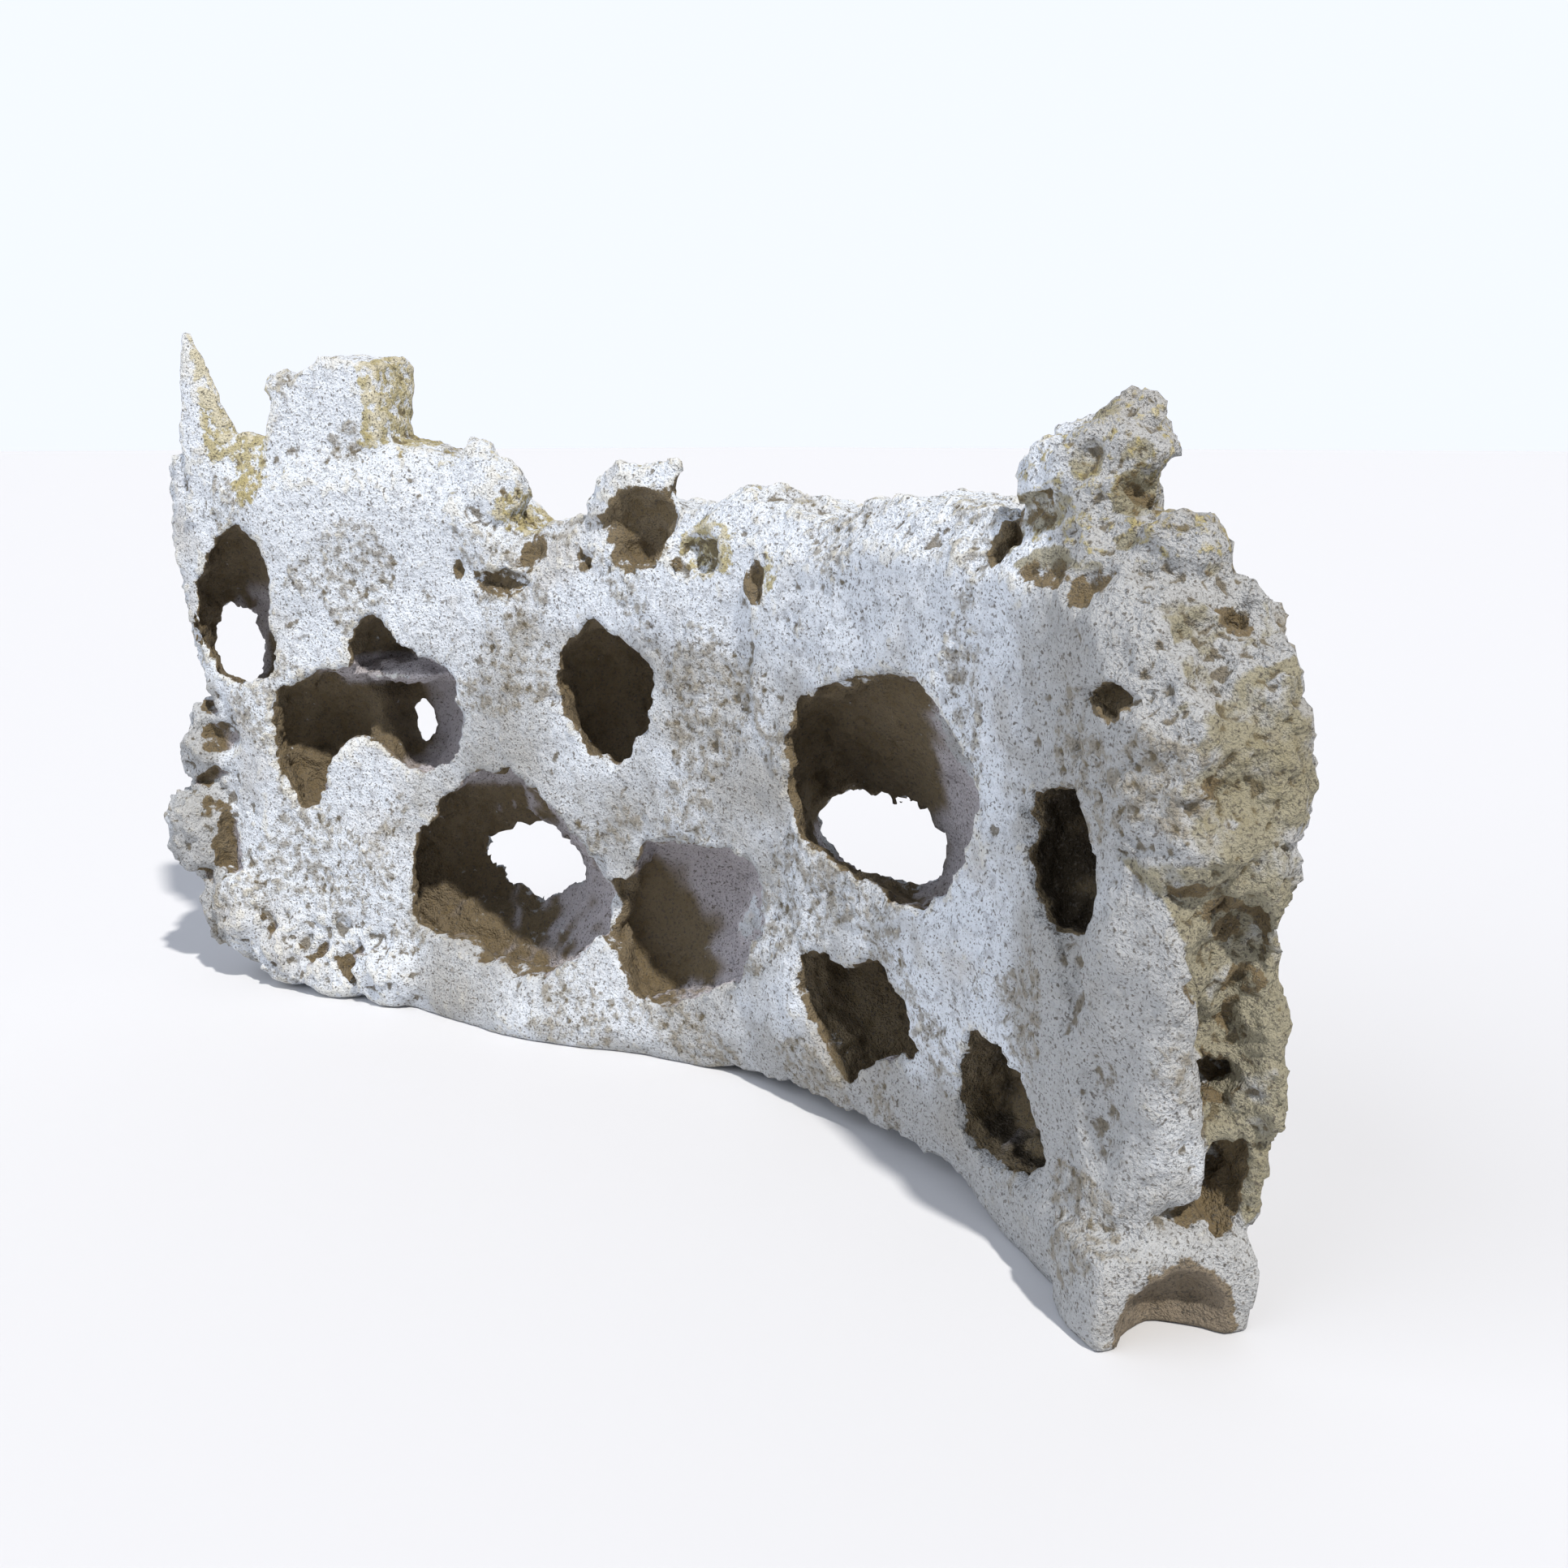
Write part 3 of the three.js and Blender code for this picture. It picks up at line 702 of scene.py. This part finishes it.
def linear(hex_colour):
    """An sRGB hex colour as linear light, with alpha."""
    parts = [int(hex_colour[i : i + 2], 16) / 255 for i in (1, 3, 5)]
    light = [c / 12.92 if c <= 0.04045 else ((c + 0.055) / 1.055) ** 2.4 for c in parts]
    return (*light, 1)


def add(tree, kind, inputs, out=0, **settings):
    """Adds a node; its inputs are values, or the outputs of other nodes that feed them."""
    made = tree.nodes.new(kind)
    for name, value in settings.items():
        setattr(made, name, value)
    for slot, value in inputs.items():
        if isinstance(value, bpy.types.NodeSocket):
            tree.links.new(value, made.inputs[slot])
        else:
            made.inputs[slot].default_value = value
    return made.outputs[out] if made.outputs else made


limestone = bpy.data.materials.new("weathered limestone")
limestone.use_nodes = True
nodes = limestone.node_tree
nodes.nodes.clear()
spot = add(nodes, "ShaderNodeTexCoord", {}, "Object")
masks = {
    name: add(nodes, "ShaderNodeAttribute", {}, "Fac", attribute_name=name) for name in colour_masks
}
# The noises that mottle it: how wide their grains are, in millimetres, and how finely they break
CLOUDS = {"broad": (46, 4), "patch": (15, 4), "blotch": (4, 4), "pore": (1.8, 1), "speck": (0.9, 2)}
clouds = {}
for name, (width, detail) in CLOUDS.items():
    grains = {"Vector": spot, "Scale": 1000 / width, "Detail": detail, "Roughness": 0.6}
    clouds[name] = add(nodes, "ShaderNodeTexNoise", grains)

# Layers of colour from the ground tone up: what it is, its colour, the mask it starts from and
# the noise that breaks it up, with the noise values where it begins and is full, and its share.
# Those values hold where the mask is full; elsewhere it lowers the noise by up to the pull.
MASK_PULL = 0.5
GROUND_TONE = "#e2e8f0"
# Pale purple grey of the lit walls: painted light
LIT_WALL_GREY = "#bdb8bc"
LAYERS = [
    ("warm grey", "#bfbab2", None, "broad", 0.5, 0.7, 0.6),
    ("grey flecks", "#aeb1b7", None, "blotch", 0.5, 0.66, 0.6),
    # Grey dust and painted shade
    ("grey dust low down and at the thick end", "#9d9b96", "dust_and_shade", "broad", 0.1, 0.4, 0.7),
    ("olive dirt of the rough patches", "#857a62", "rough", "blotch", 0.4, 0.62, 0.6),
    ("tan of the broken stone", "#958e74", "tan", "patch", 0.3, 0.5, 0.85),
    # Ochre on the tops
    ("ochre crust", "#b3a672", "ochre_tops", "blotch", 0.36, 0.5, 0.85),
    # Pale crests: painted highlight
    ("bleached crests", "#e8e4d6", "crest_highlight", "blotch", 0.25, 0.5, 0.45),
    # Dark pits: dirt and painted shade
    ("dirt in the pits", "#6b6049", "pit", "blotch", 0.2, 0.45, 0.8),
    # Brown of the cavities: partly dirt, partly painted shade
    ("brown dirt of the hollows", "#776950", "hollow", "blotch", 0.18, 0.33, 0.97),
    # Near black deep in the narrow holes: painted shade
    ("black depth of the narrow holes", "#2b261f", "deep", "patch", 0.2, 0.5, 0.85),
    ("coarse pores", "#665e52", None, "pore", 0.64, 0.7, 0.6),
    ("fine pores", "#5c5852", None, "speck", 0.55, 0.66, 0.7),
]
colour = linear(GROUND_TONE)
for _, hex_colour, mask, cloud, start, full, share in LAYERS:
    grain = clouds[cloud]
    if mask is not None:
        pulled = {0: masks[mask], 1: MASK_PULL, 2: grain}
        grain = add(nodes, "ShaderNodeMath", pulled, operation="MULTIPLY_ADD")
        start += MASK_PULL
        full += MASK_PULL
    amount = add(
        nodes,
        "ShaderNodeMapRange",
        {"Value": grain, "From Min": start, "From Max": full, "To Max": share},
        interpolation_type="SMOOTHSTEP",
    )
    over = linear(hex_colour)
    # In the cavities the brown turns pale purple grey where light is painted
    if mask == "hollow":
        tones = {0: masks["lit_walls"], 6: over, 7: linear(LIT_WALL_GREY)}
        over = add(nodes, "ShaderNodeMix", tones, 2, data_type="RGBA")
    colour = add(nodes, "ShaderNodeMix", {0: amount, 6: colour, 7: over}, 2, data_type="RGBA")

# Relief too fine for the mesh: how much its blotches count against its specks
BLOTCH_RELIEF = 2.6
mixed = {0: clouds["blotch"], 1: BLOTCH_RELIEF, 2: clouds["speck"]}
relief = add(nodes, "ShaderNodeMath", mixed, operation="MULTIPLY_ADD")
bump = add(nodes, "ShaderNodeBump", {"Height": relief, "Strength": 0.9, "Distance": 0.0015})
matt = {"Roughness": 0.93, "IOR": 1.45, "Specular IOR Level": 0.2}
chalky = {"Base Color": colour, "Normal": bump, **matt}
surface = add(nodes, "ShaderNodeBsdfPrincipled", chalky)
add(nodes, "ShaderNodeOutputMaterial", {"Surface": surface})
stone.data.materials.append(limestone)

# The ground it stands on for the picture, the light and the viewpoint. The room is bright behind
# the stone, as seen from that viewpoint, and dimmer on every other side.
FLOOR_SIZE = 60
SUN_SIDE = Vector((0.6, -0.2, 0.775))
FILL_SIDE = Vector((-0.35, -0.8, 0.49))
BACKDROP_SIDE = (-0.7065, 0.7077, 0)
EYE_PLACE = (0.45308, -0.38247, 0.24068)
EYE_DOWN = 12.05
EYE_TURN = 44.95

bpy.ops.object.select_all(action="DESELECT")
bpy.ops.mesh.primitive_plane_add(size=FLOOR_SIZE, location=(0, 0, 0))
floor = bpy.context.object
floor.name = "pale_floor"
paint = bpy.data.materials.new("pale floor")
paint.use_nodes = True
paint.node_tree.nodes["Principled BSDF"].inputs["Base Color"].default_value = linear("#d8d9dc")
paint.node_tree.nodes["Principled BSDF"].inputs["Roughness"].default_value = 0.9
floor.data.materials.append(paint)


def shine(name, side, energy, angle, hex_colour):
    """A light from one side, whose shadows are softer the wider its angle is."""
    light = bpy.data.lights.new(name, "SUN")
    light.energy = energy
    light.angle = math.radians(angle)
    light.color = linear(hex_colour)[:3]
    holder = bpy.data.objects.new(name, light)
    bpy.context.scene.collection.objects.link(holder)
    holder.rotation_euler = (-side).to_track_quat("-Z", "Y").to_euler()


shine("low warm light", SUN_SIDE, 3.4, 2.5, "#fffaf3")
shine("wide soft light", FILL_SIDE, 1.4, 70, "#eef4ff")

world = bpy.data.worlds.new("soft room")
bpy.context.scene.world = world
world.use_nodes = True
room = world.node_tree
room.nodes.clear()
way = add(room, "ShaderNodeTexCoord", {}, "Generated")
facing = {0: way, 1: BACKDROP_SIDE}
backdrop = add(room, "ShaderNodeVectorMath", facing, "Value", operation="DOT_PRODUCT")
fade = {"Value": backdrop, "From Min": 0.45, "From Max": 0.85, "To Min": 0.32, "To Max": 1.08}
level = add(room, "ShaderNodeMapRange", fade)
glow = add(room, "ShaderNodeBackground", {"Color": linear("#eef3ff"), "Strength": level})
add(room, "ShaderNodeOutputWorld", {"Surface": glow})

eye = bpy.data.cameras.new("eye")
eye.sensor_width = 36
eye.lens = 37.27
camera = bpy.data.objects.new("eye", eye)
bpy.context.scene.collection.objects.link(camera)
camera.location = EYE_PLACE
camera.rotation_euler = (math.radians(90 - EYE_DOWN), 0, math.radians(EYE_TURN))
bpy.context.scene.camera = camera
bpy.context.scene.view_settings.view_transform = "Standard"
